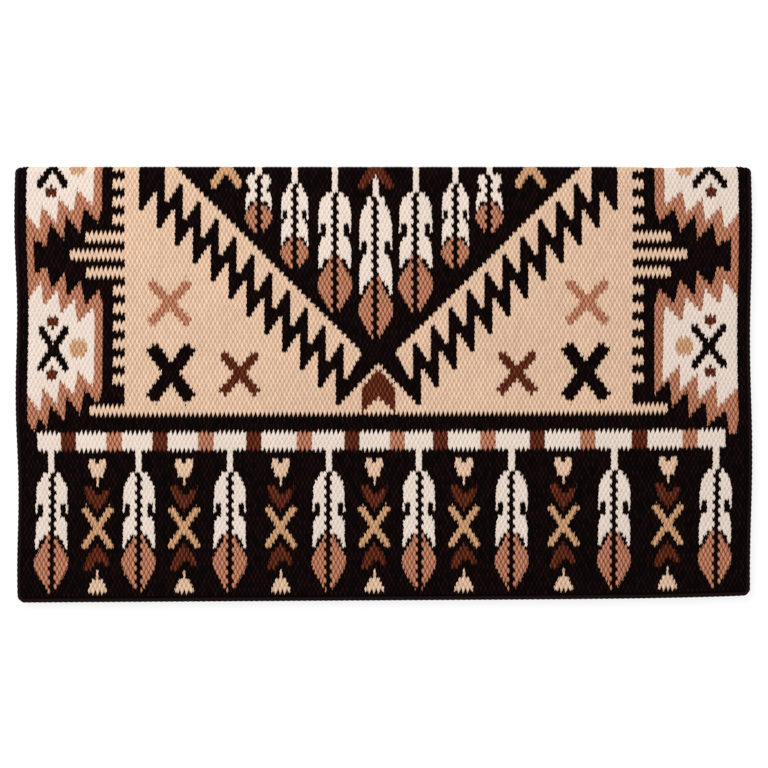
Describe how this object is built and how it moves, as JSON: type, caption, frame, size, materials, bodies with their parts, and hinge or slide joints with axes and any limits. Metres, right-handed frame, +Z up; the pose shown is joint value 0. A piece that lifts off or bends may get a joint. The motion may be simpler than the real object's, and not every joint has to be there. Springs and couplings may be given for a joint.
{
  "type": "saddle blanket",
  "caption": "Thick hand-woven wool saddle blanket with serrated diamonds, crosses and feathers, folded in half along its spine, with corded edges.",
  "frame": {"origin": "centre of the folded blanket's footprint, on the surface it lies on", "axes": "+X along the horse's spine, +Y from the hems towards the fold, +Z up out of the near-side half's face"},
  "size_m": [0.8636, 0.508, 0.0164],
  "materials": {
    "black_wool": "weft-faced woven wool, dyed black, matt with a light fuzz",
    "cream_wool": "weft-faced woven wool, natural cream, matt",
    "tan_wool": "weft-faced woven wool, dyed tan, matt",
    "rust_wool": "weft-faced woven wool, dyed dusty rust, slightly heathered, matt",
    "brown_wool": "weft-faced woven wool, dyed dark red-brown, matt"
  },
  "bodies": {
    "off_side": {"off_border_frame": "black_wool", "off_end_panel": "black_wool", "off_bead_band": "cream_wool", "off_tan_field": "tan_wool", "off_v_panel": "black_wool", "off_v_lining_left": "tan_wool", "off_v_lining_right": "tan_wool", "off_rust_outline_left": "rust_wool", "off_rust_outline_right": "rust_wool", "off_upper_cream_left": "cream_wool", "off_upper_cream_right": "cream_wool", "off_lower_cream_left": "cream_wool", "off_lower_cream_right": "cream_wool", "off_black_cross_left": "black_wool", "off_black_cross_right": "black_wool", "off_rust_cross_left": "rust_wool", "off_rust_cross_right": "rust_wool", "off_brown_cross_left": "brown_wool", "off_brown_cross_right": "brown_wool", "off_arrowhead": "brown_wool", "off_v_feather_outer_left": "cream_wool", "off_v_feather_wide_left": "cream_wool", "off_v_feather_inner_left": "cream_wool", "off_v_feather_centre": "cream_wool", "off_v_feather_inner_right": "cream_wool", "off_v_feather_wide_right": "cream_wool", "off_v_feather_outer_right": "cream_wool", "off_edge_cord": "black_wool", "spine_fold": "black_wool", "spine_cord_left": "black_wool", "spine_cord_right": "black_wool"},
    "near_side": {"near_border_frame": "black_wool", "near_end_panel": "black_wool", "near_bead_band": "cream_wool", "near_tan_field": "tan_wool", "near_v_panel": "black_wool", "near_v_lining_left": "tan_wool", "near_v_lining_right": "tan_wool", "near_rust_outline_left": "rust_wool", "near_rust_outline_right": "rust_wool", "near_upper_cream_left": "cream_wool", "near_upper_cream_right": "cream_wool", "near_lower_cream_left": "cream_wool", "near_lower_cream_right": "cream_wool", "near_black_cross_left": "black_wool", "near_black_cross_right": "black_wool", "near_rust_cross_left": "rust_wool", "near_rust_cross_right": "rust_wool", "near_brown_cross_left": "brown_wool", "near_brown_cross_right": "brown_wool", "near_arrowhead": "brown_wool", "near_v_feather_outer_left": "cream_wool", "near_v_feather_wide_left": "cream_wool", "near_v_feather_inner_left": "cream_wool", "near_v_feather_centre": "cream_wool", "near_v_feather_inner_right": "cream_wool", "near_v_feather_wide_right": "cream_wool", "near_v_feather_outer_right": "cream_wool", "near_edge_cord": "black_wool"}
  },
  "joints": [
    {"name": "spine_hinge", "type": "hinge", "parent": "off_side", "child": "near_side", "pos_m": [0, 0.24565, 0.0082], "axis": [-1, 0, 0], "range_deg": [0, 180], "deforming": ["spine_fold", "spine_cord_left", "spine_cord_right"]}
  ]
}
